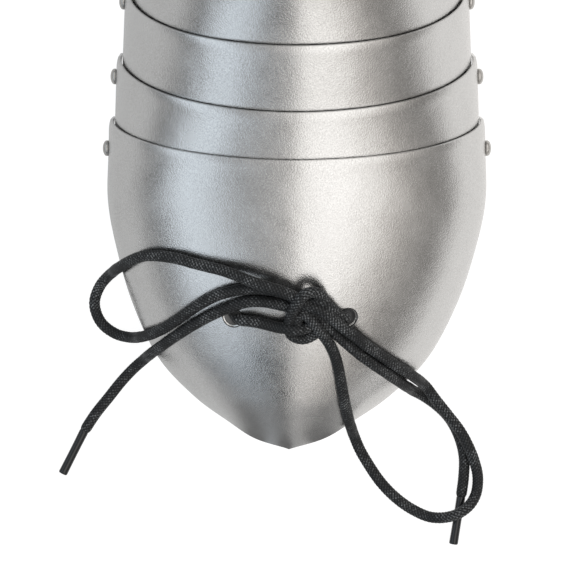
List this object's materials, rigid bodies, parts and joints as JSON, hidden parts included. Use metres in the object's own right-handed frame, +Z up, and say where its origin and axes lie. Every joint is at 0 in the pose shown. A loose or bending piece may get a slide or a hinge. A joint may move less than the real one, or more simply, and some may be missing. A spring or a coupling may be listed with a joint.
{
  "type": "steel sabaton with laced bow",
  "caption": "Plate foot defence: pointed steel toe cap, nested lames and an instep plate turning on side rivets, with a black waxed lace tied in a bow.",
  "frame": {"origin": "middle of the plates' footprint, on the floor that their rims stand on, the lace left out", "axes": "+Z up; the toe points along -Y; +X is the wearer's left when the toe points ahead"},
  "size_m": [0.1447, 0.2713, 0.0953],
  "materials": {
    "plate_steel": "satin ground mild steel with a fine sandy grain",
    "rivet_steel": "domed rivet heads, slightly darker than the plates",
    "waxed_cotton": "black waxed braided cotton cord with pale wax flecks",
    "aglet_plastic": "glossy black lace tip"
  },
  "bodies": {
    "toe_cap": {"toe_cap": "plate_steel", "rivet_1_left": "rivet_steel", "rivet_1_right": "rivet_steel", "lace_run_left": "waxed_cotton", "lace_run_right": "waxed_cotton", "lace_knot": "waxed_cotton", "lace_loop_left": "waxed_cotton", "lace_loop_right": "waxed_cotton", "lace_tail_left": "waxed_cotton", "lace_tail_right": "waxed_cotton", "aglet_left": "aglet_plastic", "aglet_right": "aglet_plastic"},
    "lame_1": {"lame_1": "plate_steel", "rivet_2_left": "rivet_steel", "rivet_2_right": "rivet_steel"},
    "lame_2": {"lame_2": "plate_steel", "rivet_3_left": "rivet_steel", "rivet_3_right": "rivet_steel"},
    "lame_3": {"lame_3": "plate_steel", "rivet_4_left": "rivet_steel", "rivet_4_right": "rivet_steel"},
    "lame_4": {"lame_4": "plate_steel", "rivet_5_left": "rivet_steel", "rivet_5_right": "rivet_steel"},
    "instep_plate": {"instep_plate": "plate_steel"}
  },
  "joints": [
    {"name": "lame_1_pivot", "type": "hinge", "parent": "toe_cap", "child": "lame_1", "pos_m": [0, -0.01917, 0.016], "axis": [1, 0, 0], "range_deg": [-4, 4]},
    {"name": "lame_2_pivot", "type": "hinge", "parent": "lame_1", "child": "lame_2", "pos_m": [0, 0.00455, 0.01648], "axis": [1, 0, 0], "range_deg": [-4, 4]},
    {"name": "lame_3_pivot", "type": "hinge", "parent": "lame_2", "child": "lame_3", "pos_m": [0, 0.02917, 0.01808], "axis": [1, 0, 0], "range_deg": [-4, 4]},
    {"name": "lame_4_pivot", "type": "hinge", "parent": "lame_3", "child": "lame_4", "pos_m": [0, 0.05311, 0.02208], "axis": [1, 0, 0], "range_deg": [-4, 4]},
    {"name": "instep_plate_pivot", "type": "hinge", "parent": "lame_4", "child": "instep_plate", "pos_m": [0, 0.07659, 0.03008], "axis": [1, 0, 0], "range_deg": [-4, 4]}
  ]
}
